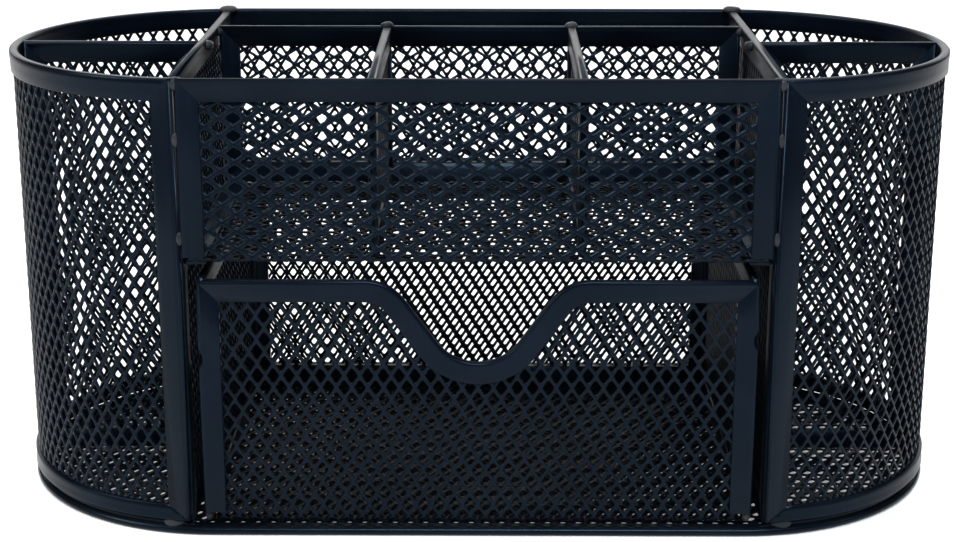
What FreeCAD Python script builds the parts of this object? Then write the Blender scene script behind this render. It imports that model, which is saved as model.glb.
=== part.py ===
# Desk organizer in black steel mesh: a stadium-shaped housing with four end compartments, a tray of
# three pockets with a slot behind them, and a drawer under the tray.
# Millimetres.  +Z is up, the drawer pulls out towards -Y, and the origin is the centre of the base
# on the surface that the organizer stands on.
import FreeCAD, Part
import math
import os
import re
import Sketcher

doc = FreeCAD.newDocument("DeskOrganizer")
V = FreeCAD.Vector

# ---------------------------------------------------------------- driving dimensions
SIZES = {
    "overall_length": 220.2,        # across the round ends
    "overall_depth": 100.0,         # front to back
    "rim_height": 105.3,            # top of every upper channel
    "mesh_sheet": 0.7,              # thickness of the expanded sheet
    "channel": 2.1,                 # thickness of a folded edge channel
    "hem_width": 5.0,               # visible width of a folded edge channel
    "foot_hem_width": 4.0,          # the same, along the foot of the curved wall
    "fold_clearance": 0.05,         # between the sheet and each leg of its channel
    "fold_radius": 0.7,             # rounding of a channel's folded edge
    "bead_height": 2.2,             # rolled rim of the base
    "bead_width": 4.0,
    "bead_radius": 0.9,
    "foot_gap": 1.2,                # between the base rim and the foot of the wall
    "middle_width": 131.0,          # between the centre planes of the two side panels
    "front_gap": 0.5,               # between the front panel and each front post
    "tray_height": 64.8,            # centre plane of the tray floor
    "back_slot": 28.0,              # centre plane of the back divider to that of the back wall
    "pocket_width": 45.5,           # between the centre planes of the two tray dividers
    "end_divider_drop": 0.3,        # end dividers stand this much lower than the rim
    "fold_inside": 0.5,             # inside radius where a sheet turns from front to floor
    "drawer_side_gap": 2.45,        # drawer to each side panel
    "drawer_top_gap": 3.15,         # drawer to the tray floor's channel
    "drawer_back_gap": 2.3,         # drawer to the back wall
    "drawer_floor_gap": 0.4,        # drawer to the base rim
    "drawer_setback": 0.5,          # drawer front behind the organizer's front plane
    "drawer_frame_lift": 2.4,       # front channel's ends above the drawer floor
    "drawer_corner": 3.0,           # rounded top corners of the drawer front
    "scoop_width": 50.0,            # finger scoop, between the highest points of its shoulders
    "scoop_depth": 19.0,
    "scoop_radius": 11.0,           # inside round of the scoop
    "shoulder_radius": 11.0,        # outside round of each shoulder
    "notch_radius": 2.7,            # crimp notches in the drawer front's outer edges
    "notch_depth": 1.2,
    "left_notch_height": 42.3,
    "right_notch_height": 46.9,
    "hook_radius": 2.5,             # rounded caps that hook over the back rim
    "hook_height": 1.1,
    "divider_hook_radius": 1.7,     # caps where the tray dividers hook over the back divider
    "weld_tab": 2.6,                # length of a weld tab
    "upper_weld_height": 92.0,
    "lower_weld_height": 70.0,
    "foot_weld": 5.0,               # length of a weld between the base rim and the wall
}

sheet = doc.addObject("Spreadsheet::Sheet", "Sizes")
for row, (alias, value) in enumerate(SIZES.items(), start=1):
    sheet.set(f"A{row}", alias.replace("_", " "))
    sheet.set(f"B{row}", str(value))
    sheet.setAlias(f"B{row}", alias)
doc.recompute()


def bound(formula):
    """A formula in plain size names, as an expression on the spreadsheet."""
    return re.sub(r"\b(?!sqrt\b|max\b)[a-z]\w+", lambda name: "Sizes." + name.group(), formula)


# Places that several pieces share, as formulas in the sizes above.
END_CENTRE = "((overall_length - overall_depth) / 2)"
OUTSIDE = "(overall_depth / 2)"
INSIDE = "(overall_depth / 2 - channel)"
WALL_CENTRE = "(overall_depth / 2 - channel / 2)"
SLOT_HALF = "(mesh_sheet / 2 + fold_clearance)"
WEB = "((channel - mesh_sheet) / 2 - fold_clearance)"
WALL_FOOT = "(bead_height + foot_gap)"
SIDE_PLANE = "(middle_width / 2)"
SIDE_INNER = "(middle_width / 2 - channel / 2)"
SIDE_OUTER = "(middle_width / 2 + channel / 2)"
POST_EDGE = "(middle_width / 2 - front_gap)"
FRONT_HALF = "(middle_width / 2 - 2 * front_gap)"
SIDE_REACH = f"sqrt({INSIDE}^2 - max({SIDE_OUTER} - {END_CENTRE}; 0)^2)"
END_REACH = f"({END_CENTRE} + sqrt({INSIDE}^2 - (channel / 2)^2))"
DIVIDER_PLANE = f"({WALL_CENTRE} - back_slot)"
TRAY_TOP = "(tray_height + channel / 2)"
TRAY_UNDERSIDE = "(tray_height - channel / 2)"

DRAWER_HALF = f"({SIDE_INNER} - drawer_side_gap)"
DRAWER_TOP = f"({TRAY_UNDERSIDE} - drawer_top_gap)"
DRAWER_BACK = f"({INSIDE} - drawer_back_gap)"
DRAWER_FRONT = f"({OUTSIDE} - drawer_setback)"
DRAWER_UNDERSIDE = "(bead_height + drawer_floor_gap)"
DRAWER_FLOOR = f"({DRAWER_UNDERSIDE} + mesh_sheet)"

subparts = []


def keep(piece, name):
    """Name a finished sub-part, which is written to a file of its own."""
    piece.Label = name
    subparts.append(piece)
    return piece


# ---------------------------------------------------------------- primitives on sheet formulas
def block(name, low, size):
    """Block with its lowest corner at low and edges of the given size."""
    piece = doc.addObject("Part::Box", name)
    for side, formula in zip(("Length", "Width", "Height"), size):
        piece.setExpression(side, bound(formula))
    for axis, formula in zip("xyz", low):
        piece.setExpression(f"Placement.Base.{axis}", bound(formula))
    return piece


def disc(name, centre, radius, height):
    """Upright cylinder standing on the point centre."""
    piece = doc.addObject("Part::Cylinder", name)
    piece.setExpression("Radius", bound(radius))
    piece.setExpression("Height", bound(height))
    for axis, formula in zip("xyz", centre):
        piece.setExpression(f"Placement.Base.{axis}", bound(formula))
    return piece


def fused(name, pieces):
    piece = doc.addObject("Part::MultiFuse", name)
    piece.Shapes = pieces
    piece.Refine = True
    return piece


def cut(name, base, tool):
    piece = doc.addObject("Part::Cut", name)
    piece.Base = base
    piece.Tool = tool
    return piece


def common(name, first, second):
    piece = doc.addObject("Part::Common", name)
    piece.Base = first
    piece.Tool = second
    return piece


def grouped(name, pieces):
    piece = doc.addObject("Part::Compound", name)
    piece.Links = pieces
    return piece


def stadium(name, radius, low, height):
    """Solid with a stadium outline in plan: a middle block and two round ends."""
    middle = block(f"{name}_middle", (f"-{END_CENTRE}", f"-({radius})", low),
                   (f"2 * {END_CENTRE}", f"2 * ({radius})", height))
    left = disc(f"{name}_left", (f"-{END_CENTRE}", "0", low), radius, height)
    right = disc(f"{name}_right", (END_CENTRE, "0", low), radius, height)
    return fused(name, [middle, left, right])


def curved_band(name, outer, inner, low, height, mouth):
    """Upright band that follows the stadium, open at the front between -mouth and +mouth."""
    ring = cut(f"{name}_ring", stadium(f"{name}_outer", outer, low, height),
               stadium(f"{name}_inner", inner, low, height))
    opening = block(f"{name}_mouth", (f"-({mouth})", "-overall_depth", low),
                    (f"2 * ({mouth})", "overall_depth", height))
    return cut(name, ring, opening)


# ---------------------------------------------------------------- sketched bodies
def new_body(name):
    return doc.addObject("PartDesign::Body", name)


def sketch_on(body, role, name):
    """Empty sketch on one of the body's own origin planes."""
    plane = next(item for item in body.Origin.OriginFeatures if item.Role == role)
    sketch = body.newObject("Sketcher::SketchObject", name)
    sketch.AttachmentSupport = [(plane, "")]
    sketch.MapMode = "FlatFace"
    return sketch


def measure(sketch, kind, *arguments, formula):
    """Add a dimension, starting at its own measured value, and bind it to the sizes."""
    index = sketch.addConstraint(Sketcher.Constraint(kind, *arguments))
    sketch.setExpression(f"Constraints[{index}]", bound(formula))


def draw_rectangle(sketch, width, height):
    """Rectangle centred on the sketch's origin."""
    corners = [V(-10, -5, 0), V(10, -5, 0), V(10, 5, 0), V(-10, 5, 0)]
    for start, end in zip(corners, corners[1:] + corners[:1]):
        sketch.addGeometry(Part.LineSegment(start, end))
    for line in range(4):
        sketch.addConstraint(Sketcher.Constraint("Coincident", line, 2, (line + 1) % 4, 1))
        sketch.addConstraint(Sketcher.Constraint("Vertical" if line % 2 else "Horizontal", line))
    sketch.addConstraint(Sketcher.Constraint("Symmetric", 0, 1, 1, 2, -1, 1))
    measure(sketch, "DistanceX", 0, 1, 0, 2, 20.0, formula=width)
    measure(sketch, "DistanceY", 1, 1, 1, 2, 10.0, formula=height)


def draw_polygon(sketch, corners):
    """Closed outline through corners, each a pair of formulas measured from the sketch's origin."""
    count = len(corners)
    turns = [2 * math.pi * corner / count for corner in range(count)]
    guesses = [V(50 * math.cos(turn), 50 * math.sin(turn), 0) for turn in turns]
    for start, end in zip(guesses, guesses[1:] + guesses[:1]):
        sketch.addGeometry(Part.LineSegment(start, end))
    for line in range(count):
        sketch.addConstraint(Sketcher.Constraint("Coincident", line, 2, (line + 1) % count, 1))
    for line, (across, up) in enumerate(corners):
        measure(sketch, "DistanceX", -1, 1, line, 1, guesses[line].x, formula=across)
        measure(sketch, "DistanceY", -1, 1, line, 1, guesses[line].y, formula=up)


def draw_stadium(sketch, radius):
    """Stadium outline: two half circles about the end centres, joined by straight runs."""
    first = sketch.GeometryCount
    reach = (SIZES["overall_length"] - SIZES["overall_depth"]) / 2
    start = SIZES["overall_depth"] / 2
    up, quarter = V(0, 0, 1), math.pi / 2
    right = Part.Circle(V(reach, 0, 0), up, start)
    left = Part.Circle(V(-reach, 0, 0), up, start)
    sketch.addGeometry(Part.ArcOfCircle(right, -quarter, quarter))
    sketch.addGeometry(Part.LineSegment(V(reach, start, 0), V(-reach, start, 0)))
    sketch.addGeometry(Part.ArcOfCircle(left, quarter, 3 * quarter))
    sketch.addGeometry(Part.LineSegment(V(-reach, -start, 0), V(reach, -start, 0)))
    for edge in range(4):
        following = first + (edge + 1) % 4
        sketch.addConstraint(Sketcher.Constraint("Tangent", first + edge, 2, following, 1))
    sketch.addConstraint(Sketcher.Constraint("Equal", first, first + 2))
    sketch.addConstraint(Sketcher.Constraint("PointOnObject", first, 3, -1))
    sketch.addConstraint(Sketcher.Constraint("Symmetric", first, 3, first + 2, 3, -1, 1))
    measure(sketch, "DistanceX", -1, 1, first, 3, reach, formula=END_CENTRE)
    measure(sketch, "Radius", first, start, formula=radius)


def pad(body, sketch, length, name, middle=True):
    feature = body.newObject("PartDesign::Pad", name)
    feature.Profile = sketch
    feature.Midplane = middle
    feature.setExpression("Length", bound(length))
    doc.recompute()
    return feature


def pocket(body, sketch, name, width=None):
    """Cut a sketch out of the body, width wide about its plane, or all the way through."""
    before = body.Shape.Volume
    feature = body.newObject("PartDesign::Pocket", name)
    feature.Profile = sketch
    feature.Midplane = True
    if width is None:
        feature.Type = "ThroughAll"
    else:
        feature.setExpression("Length", bound(width))
    doc.recompute()
    if body.Shape.Volume > before - 1.0:
        raise RuntimeError(f"{name} cuts nothing from {body.Name}")
    return feature


def fillet(body, name, wanted, radius):
    """Round the edges of the body's last feature that wanted picks."""
    last = body.Tip
    picked = [f"Edge{number}" for number, edge in enumerate(last.Shape.Edges, start=1) if wanted(edge)]
    feature = body.newObject("PartDesign::Fillet", name)
    feature.Base = (last, picked)
    feature.setExpression("Radius", bound(radius))
    doc.recompute()
    return feature


def place(piece, centre, turn=0):
    """Turn a piece about the upright axis and put its origin at centre."""
    piece.Placement = FreeCAD.Placement(V(0, 0, 0), FreeCAD.Rotation(V(0, 0, 1), turn))
    for axis, formula in zip("xyz", centre):
        piece.setExpression(f"Placement.Base.{axis}", bound(formula))


def framed_panel(name, along, centre, width, height):
    """Flat mesh panel whose four edges sit in one folded channel.

    It is upright, its width runs along x or y, and the sheet's edges rest against the channel's web.
    """
    body = new_body(f"{name}_frame")
    outline = sketch_on(body, "XZ_Plane", f"{name}_outline")
    draw_rectangle(outline, width, height)
    pad(body, outline, "channel", f"{name}_bar")
    across = lambda edge: abs(edge.tangentAt(edge.FirstParameter).y) < 0.5
    fillet(body, f"{name}_fold", across, "fold_radius")
    window = sketch_on(body, "XZ_Plane", f"{name}_window")
    draw_rectangle(window, f"{width} - 2 * hem_width", f"{height} - 2 * hem_width")
    pocket(body, window, f"{name}_window_cut")
    slot = sketch_on(body, "XZ_Plane", f"{name}_slot")
    draw_rectangle(slot, f"{width} - 2 * {WEB}", f"{height} - 2 * {WEB}")
    pocket(body, slot, f"{name}_slot_cut", f"2 * {SLOT_HALF}")
    place(body, centre, 90 if along == "y" else 0)
    keep(body, f"{name}_frame")

    reach = (f"({width} - 2 * {WEB})", "mesh_sheet")
    size = (reach if along == "x" else reach[::-1]) + (f"({height} - 2 * {WEB})",)
    low = [f"{middle} - {edge} / 2" for middle, edge in zip(centre, size)]
    keep(block(f"{name}_mesh", low, size), f"{name}_mesh")


# ---------------------------------------------------------------- base
# A stadium of mesh whose edge is rolled into a rim.  The rim is what stands on the desk.
base_rim = new_body("base_rim")
rim_outline = sketch_on(base_rim, "XY_Plane", "base_rim_outline")
draw_stadium(rim_outline, OUTSIDE)
pad(base_rim, rim_outline, "bead_height", "base_rim_solid", middle=False)
lies_flat = lambda edge: abs(edge.tangentAt(edge.FirstParameter).z) < 0.5
fillet(base_rim, "base_rim_round", lies_flat, "bead_radius")
rim_hole = sketch_on(base_rim, "XY_Plane", "base_rim_hole")
draw_stadium(rim_hole, f"{OUTSIDE} - bead_width")
pocket(base_rim, rim_hole, "base_rim_hole_cut")
base_slot = stadium("base_slot", f"{OUTSIDE} - bead_radius", f"bead_height / 2 - {SLOT_HALF}",
                    f"2 * {SLOT_HALF}")
keep(cut("base_ring", base_rim, base_slot), "base_ring")
base_mesh = stadium("base_mesh", f"{OUTSIDE} - bead_radius - fold_clearance",
                    "bead_height / 2 - mesh_sheet / 2", "mesh_sheet")
keep(base_mesh, "base_mesh")

# ---------------------------------------------------------------- curved wall
# One sheet wraps the back and both ends, from one front post to the other.
wall_height = f"(rim_height - {WALL_FOOT})"
wall_mesh = curved_band("wall_mesh", f"{WALL_CENTRE} + mesh_sheet / 2", f"{WALL_CENTRE} - mesh_sheet / 2",
                        f"{WALL_FOOT} + {WEB}", f"{wall_height} - 2 * {WEB}", f"{POST_EDGE} + {WEB}")
keep(wall_mesh, "wall_mesh")

# Its channel goes all round the sheet: over the rim, down both posts and along the foot.
wall_bar = curved_band("wall_bar", OUTSIDE, INSIDE, WALL_FOOT, wall_height, POST_EDGE)
wall_window = curved_band("wall_window", f"{OUTSIDE} + channel", f"{INSIDE} - channel",
                          f"{WALL_FOOT} + foot_hem_width", f"{wall_height} - foot_hem_width - hem_width",
                          f"{POST_EDGE} + hem_width")
wall_slot = curved_band("wall_slot", f"{WALL_CENTRE} + {SLOT_HALF}", f"{WALL_CENTRE} - {SLOT_HALF}",
                        f"{WALL_FOOT} + {WEB}", f"{wall_height} - 2 * {WEB}", f"{POST_EDGE} + {WEB}")
wall_channel = cut("wall_channel", cut("wall_channel_bar", wall_bar, wall_window), wall_slot)


def mitred_prism(name, side):
    """Upright wedge round one front post, with a mitre at its head and at its foot."""
    wedge = doc.addObject("Part::Wedge", name)
    wedge.setExpression("Xmax", bound("overall_depth / 2"))
    wedge.setExpression("Ymax", bound("hem_width"))
    wedge.setExpression("Zmax", bound(wall_height))
    wedge.setExpression("X2max", bound("overall_depth / 2"))
    wedge.setExpression("Z2min", bound("foot_hem_width"))
    wedge.setExpression("Z2max", bound(f"{wall_height} - hem_width"))
    for lowest in ("Xmin", "Ymin", "Zmin", "X2min"):
        setattr(wedge, lowest, 0)
    turn = -90 if side > 0 else 90
    wedge.Placement = FreeCAD.Placement(V(0, 0, 0), FreeCAD.Rotation(V(0, 0, 1), turn))
    wedge.setExpression("Placement.Base.x", bound(f"{side} * {POST_EDGE}"))
    wedge.setExpression("Placement.Base.y", bound("0" if side > 0 else "-overall_depth / 2 - channel"))
    wedge.setExpression("Placement.Base.z", bound(WALL_FOOT))
    return wedge


posts = []
for side, hand in ((-1, "left"), (1, "right")):
    posts.append(mitred_prism(f"{hand}_post_prism", side))
    keep(common(f"wall_post_{hand}", wall_channel, posts[-1]), f"wall_post_{hand}")
runs = cut("wall_runs", wall_channel, grouped("post_prisms", posts))
wall_middle = f"({WALL_FOOT} + {wall_height} / 2)"
for level, low in (("bottom", WALL_FOOT), ("top", wall_middle)):
    half = block(f"wall_{level}_half", ("-overall_length", "-overall_depth", low),
                 ("2 * overall_length", "2 * overall_depth", f"{wall_height} / 2"))
    keep(common(f"wall_{level}_channel", runs, half), f"wall_{level}_channel")

# ---------------------------------------------------------------- fixed panels inside the wall
side_foot = "bead_height"
for side, hand in ((-1, "left"), (1, "right")):
    framed_panel(f"side_panel_{hand}", "y",
                 (f"{side} * {SIDE_PLANE}", "0", f"(rim_height + {side_foot}) / 2"),
                 f"2 * {SIDE_REACH}", f"(rim_height - {side_foot})")
    divider_top = "(rim_height - end_divider_drop)"
    framed_panel(f"end_divider_{hand}", "x",
                 (f"{side} * ({SIDE_OUTER} + {END_REACH}) / 2", "0", f"({divider_top} + {side_foot}) / 2"),
                 f"({END_REACH} - {SIDE_OUTER})", f"({divider_top} - {side_foot})")
framed_panel("back_divider", "x", ("0", DIVIDER_PLANE, f"(rim_height + {TRAY_TOP}) / 2"),
             f"2 * {SIDE_INNER}", f"(rim_height - {TRAY_TOP})")
pocket_depth = f"({DIVIDER_PLANE} - channel / 2 + {INSIDE})"
for side, hand in ((-1, "left"), (1, "right")):
    framed_panel(f"tray_divider_{hand}", "y",
                 (f"{side} * pocket_width / 2", f"{DIVIDER_PLANE} - channel / 2 - {pocket_depth} / 2",
                  f"(rim_height + {TRAY_TOP}) / 2"),
                 pocket_depth, f"(rim_height - {TRAY_TOP})")


# ---------------------------------------------------------------- tray
def folded_sheet(name, half_width, front, back, floor, top):
    """Sheet that stands at the front and turns inwards into a floor.

    front is the front face's distance ahead of the centre, back is how far the floor reaches behind
    it, and floor is the height of the floor's underside.
    """
    body = new_body(name)
    profile = sketch_on(body, "YZ_Plane", f"{name}_profile")
    draw_polygon(profile, [(f"-{front}", floor), (back, floor), (back, f"{floor} + mesh_sheet"),
                           (f"-{front} + mesh_sheet", f"{floor} + mesh_sheet"),
                           (f"-{front} + mesh_sheet", top), (f"-{front}", top)])
    pad(body, profile, f"2 * {half_width}", f"{name}_sheet")
    shape = body.Shape
    along = [edge for edge in shape.Edges if abs(edge.tangentAt(edge.FirstParameter).x) > 0.5]
    near = lambda edge: edge.BoundBox.YMin + edge.BoundBox.ZMin
    thickness = SIZES["mesh_sheet"]
    outer = min(along, key=near).BoundBox
    inner_y, inner_z = outer.YMin + thickness, outer.ZMin + thickness
    at_bend = lambda edge, y, z: (abs(edge.tangentAt(edge.FirstParameter).x) > 0.5
                                  and abs(edge.BoundBox.YMin - y) < 0.01
                                  and abs(edge.BoundBox.ZMin - z) < 0.01)
    fillet(body, f"{name}_inner_bend", lambda edge: at_bend(edge, inner_y, inner_z), "fold_inside")
    fillet(body, f"{name}_outer_bend", lambda edge: at_bend(edge, outer.YMin, outer.ZMin),
           "fold_inside + mesh_sheet")
    return body


sheet_front = f"({WALL_CENTRE} + mesh_sheet / 2)"
tray_mesh = folded_sheet("tray_mesh", f"({FRONT_HALF} - {WEB})", sheet_front, f"({INSIDE} - {WEB})",
                         "(tray_height - mesh_sheet / 2)", f"(rim_height - {WEB})")
keep(tray_mesh, "tray_mesh")

# The floor's two sides and back sit in a channel that is welded to the side panels and the wall.
floor_bar = block("floor_bar", (f"-{SIDE_INNER}", f"-{INSIDE}", TRAY_UNDERSIDE),
                  (f"2 * {SIDE_INNER}", f"2 * {INSIDE}", "channel"))
floor_window = block("floor_window", (f"-{SIDE_INNER} + hem_width", "-overall_depth", "0"),
                     (f"2 * ({SIDE_INNER} - hem_width)", f"overall_depth + {INSIDE} - hem_width",
                      "rim_height"))
floor_slot = block("floor_slot", (f"-{FRONT_HALF} + {WEB}", "-overall_depth", f"tray_height - {SLOT_HALF}"),
                   (f"2 * ({FRONT_HALF} - {WEB})", f"overall_depth + {INSIDE} - {WEB}", f"2 * {SLOT_HALF}"))
keep(cut("tray_floor_frame", cut("floor_channel", floor_bar, floor_window), floor_slot), "tray_floor_frame")

# The front of the tray is framed on three sides.  The fold closes the fourth.
front_height = f"(rim_height - {TRAY_TOP})"
front_bar = block("front_bar", (f"-{FRONT_HALF}", f"-{OUTSIDE}", TRAY_TOP),
                  (f"2 * {FRONT_HALF}", "channel", front_height))
front_window = block("front_window", (f"-{FRONT_HALF} + hem_width", "-overall_depth", "tray_height"),
                     (f"2 * ({FRONT_HALF} - hem_width)", "overall_depth",
                      f"{front_height} - hem_width + channel / 2"))
front_slot = block("front_slot", (f"-{FRONT_HALF} + {WEB}", f"-{WALL_CENTRE} - {SLOT_HALF}", "tray_height"),
                   (f"2 * ({FRONT_HALF} - {WEB})", f"2 * {SLOT_HALF}", f"rim_height - {WEB} - tray_height"))
keep(cut("front_panel_frame", cut("front_channel", front_bar, front_window), front_slot), "front_panel_frame")


# ---------------------------------------------------------------- hooks and welds
def cap(name, centre, radius):
    """Flattened round cap that stands on centre, its upper edge rounded."""
    pill = disc(f"{name}_disc", centre, radius, "hook_height")
    dome_radius = f"((({radius})^2 + hook_height^2) / (2 * hook_height))"
    dome = doc.addObject("Part::Sphere", f"{name}_dome")
    dome.setExpression("Radius", bound(dome_radius))
    for axis, formula in zip("xy", centre):
        dome.setExpression(f"Placement.Base.{axis}", bound(formula))
    dome.setExpression("Placement.Base.z", bound(f"{centre[2]} + hook_height - {dome_radius}"))
    return common(name, pill, dome)


for side, hand in ((-1, "left"), (1, "right")):
    hook_centre = (f"{side} * {SIDE_PLANE}", f"{OUTSIDE} - hook_radius - channel / 4", "rim_height")
    keep(cap(f"rim_hook_{hand}", hook_centre, "hook_radius"), f"rim_hook_{hand}")
divider_hooks = [cap(f"divider_hook_{hand}", (f"{side} * pocket_width / 2", DIVIDER_PLANE, "rim_height"),
                     "divider_hook_radius") for side, hand in ((-1, "left"), (1, "right"))]
keep(grouped("divider_hooks", divider_hooks), "divider_hooks")

tabs = [block(f"front_tab_{hand}_{level}",
              (f"{side} * ({FRONT_HALF} + front_gap / 2) - front_gap / 2", f"-{OUTSIDE} + channel / 4",
               f"{level}_weld_height - weld_tab / 2"), ("front_gap", "channel / 2", "weld_tab"))
        for side, hand in ((-1, "left"), (1, "right")) for level in ("upper", "lower")]
keep(grouped("front_weld_tabs", tabs), "front_weld_tabs")

# The wall stands on the rim through short welds: under both posts, along the ends and along the back.
foot_welds = []
weld_band = curved_band("weld_band", f"{OUTSIDE} - bead_radius", INSIDE, "bead_height", "foot_gap", POST_EDGE)
post_weld_places = [(f"{side} * ({SIDE_OUTER} + foot_weld / 2)", f"-{WALL_CENTRE}") for side in (-1, 1)]
end_weld_places = [(f"{side} * ({END_CENTRE} + {WALL_CENTRE})", "0") for side in (-1, 1)]
back_weld_places = [(f"{place_share} * {SIDE_PLANE}", WALL_CENTRE) for place_share in (-1, 0, 1)]
for number, (x, y) in enumerate(post_weld_places + end_weld_places + back_weld_places, start=1):
    foot_welds.append(block(f"foot_weld_{number}", (f"{x} - foot_weld / 2", f"{y} - foot_weld / 2", "0"),
                            ("foot_weld", "foot_weld", "rim_height")))
keep(common("foot_welds", weld_band, fused("foot_weld_blocks", foot_welds)), "foot_welds")


# ---------------------------------------------------------------- drawer
# Each inset that the scooped outline is drawn with, and its value for the sketch's first guess.
GUESSES = {"0": 0.0, WEB: (SIZES["channel"] - SIZES["mesh_sheet"]) / 2 - SIZES["fold_clearance"],
           "hem_width": SIZES["hem_width"]}


def draw_scooped(sketch, inset, low):
    """Outline of the drawer front, inset from its edge, from height low up to the scooped top."""
    half, height = DRAWER_HALF, DRAWER_TOP
    size = SIZES
    guess_half = size["middle_width"] / 2 - size["channel"] / 2 - size["drawer_side_gap"]
    guess_top = size["tray_height"] - size["channel"] / 2 - size["drawer_top_gap"]
    margin = GUESSES[inset]
    shoulder = V(-size["scoop_width"] / 2, guess_top - size["shoulder_radius"], 0)
    bowl = V(0, guess_top - size["scoop_depth"] + size["scoop_radius"], 0)
    link = bowl - shoulder
    reach = size["shoulder_radius"] + size["scoop_radius"]
    lean = math.atan2(link.y, link.x) + math.acos(reach / link.Length)
    shoulder_round = size["shoulder_radius"] - margin
    bowl_round = size["scoop_radius"] + margin
    side, top, foot = guess_half - margin, guess_top - margin, 1.0
    mirror = lambda point: V(-point.x, point.y, 0)
    normal = V(math.cos(lean), math.sin(lean), 0)
    leave = shoulder + normal * shoulder_round
    enter = bowl - normal * bowl_round
    crest = V(shoulder.x, top, 0)
    up = V(0, 0, 1)
    quarter = math.pi / 2
    sketch.addGeometry(Part.LineSegment(V(-side, foot, 0), V(-side, top, 0)))
    sketch.addGeometry(Part.LineSegment(V(-side, top, 0), crest))
    sketch.addGeometry(Part.ArcOfCircle(Part.Circle(shoulder, up, shoulder_round), lean, quarter))
    sketch.addGeometry(Part.LineSegment(leave, enter))
    sketch.addGeometry(Part.ArcOfCircle(Part.Circle(bowl, up, bowl_round),
                                        lean + math.pi, 2 * math.pi - lean))
    sketch.addGeometry(Part.LineSegment(mirror(enter), mirror(leave)))
    sketch.addGeometry(Part.ArcOfCircle(Part.Circle(mirror(shoulder), up, shoulder_round),
                                        quarter, math.pi - lean))
    sketch.addGeometry(Part.LineSegment(mirror(crest), V(side, top, 0)))
    sketch.addGeometry(Part.LineSegment(V(side, top, 0), V(side, foot, 0)))
    sketch.addGeometry(Part.LineSegment(V(side, foot, 0), V(-side, foot, 0)))
    # Arcs run anticlockwise, so both shoulder arcs are met at their far ends.
    joins = [(0, 2, 1, 1), (7, 2, 8, 1), (8, 2, 9, 1), (9, 2, 0, 1)]
    tangents = [(1, 2, 2, 2), (2, 1, 3, 1), (3, 2, 4, 1), (4, 2, 5, 1), (5, 2, 6, 2), (6, 1, 7, 1)]
    for join in joins:
        sketch.addConstraint(Sketcher.Constraint("Coincident", *join))
    for tangent in tangents:
        sketch.addConstraint(Sketcher.Constraint("Tangent", *tangent))
    for line in (1, 7):
        sketch.addConstraint(Sketcher.Constraint("Horizontal", line))
    for line in (0, 8):
        sketch.addConstraint(Sketcher.Constraint("Vertical", line))
    sketch.addConstraint(Sketcher.Constraint("Symmetric", 0, 1, 8, 2, -2))
    sketch.addConstraint(Sketcher.Constraint("PointOnObject", 4, 3, -2))
    sketch.addConstraint(Sketcher.Constraint("Symmetric", 2, 3, 6, 3, -2))
    sketch.addConstraint(Sketcher.Constraint("Equal", 2, 6))
    measure(sketch, "DistanceX", -1, 1, 8, 1, side, formula=f"{half} - {inset}")
    measure(sketch, "DistanceY", -1, 1, 8, 1, top, formula=f"{height} - {inset}")
    measure(sketch, "DistanceY", -1, 1, 9, 1, foot, formula=low)
    measure(sketch, "DistanceX", -1, 1, 6, 3, -shoulder.x, formula="scoop_width / 2")
    measure(sketch, "Radius", 2, shoulder_round, formula=f"shoulder_radius - {inset}")
    measure(sketch, "Radius", 4, bowl_round, formula=f"scoop_radius + {inset}")
    measure(sketch, "DistanceY", -1, 1, 4, 3, bowl.y, formula=f"{height} - scoop_depth + scoop_radius")


frame_foot = f"({DRAWER_FLOOR} + drawer_frame_lift)"
drawer_face = f"(-{DRAWER_FRONT} + channel / 2)"

front = new_body("drawer_front_frame")
front_outline = sketch_on(front, "XZ_Plane", "drawer_front_outline")
draw_scooped(front_outline, "0", frame_foot)
pad(front, front_outline, "channel", "drawer_front_bar")
highest = front.Shape.BoundBox.ZMax
widest = front.Shape.BoundBox.XMax


def at_top_corner(edge):
    """True for the two short edges at the top corners of the drawer front."""
    box = edge.BoundBox
    runs_back = box.XLength < 0.01 and box.ZLength < 0.01
    return runs_back and highest - box.ZMax < 0.01 and widest - abs(box.XMax) < 0.01


fillet(front, "drawer_front_corners", at_top_corner, "drawer_corner")
fillet(front, "drawer_front_fold", lambda edge: edge.BoundBox.YLength < 0.01,
       "fold_radius")
for name, inset, width in (("window", "hem_width", None), ("slot", WEB, f"2 * {SLOT_HALF}")):
    opening = sketch_on(front, "XZ_Plane", f"drawer_front_{name}")
    draw_scooped(opening, inset, "bead_height")
    pocket(front, opening, f"drawer_front_{name}_cut", width)
for side, hand in ((-1, "left"), (1, "right")):
    notch = sketch_on(front, "XZ_Plane", f"drawer_notch_{hand}")
    across = side * (widest + SIZES["notch_radius"] - SIZES["notch_depth"])
    up = SIZES[f"{hand}_notch_height"]
    notch.addGeometry(Part.Circle(V(across, up, 0), V(0, 0, 1), SIZES["notch_radius"]))
    measure(notch, "Radius", 0, SIZES["notch_radius"], formula="notch_radius")
    measure(notch, "DistanceX", -1, 1, 0, 3, across,
            formula=f"{side} * ({DRAWER_HALF} + notch_radius - notch_depth)")
    measure(notch, "DistanceY", -1, 1, 0, 3, up, formula=f"{hand}_notch_height")
    pocket(front, notch, f"drawer_notch_{hand}_cut")
place(front, ("0", drawer_face, "0"))
keep(front, "drawer_front_frame")

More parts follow.
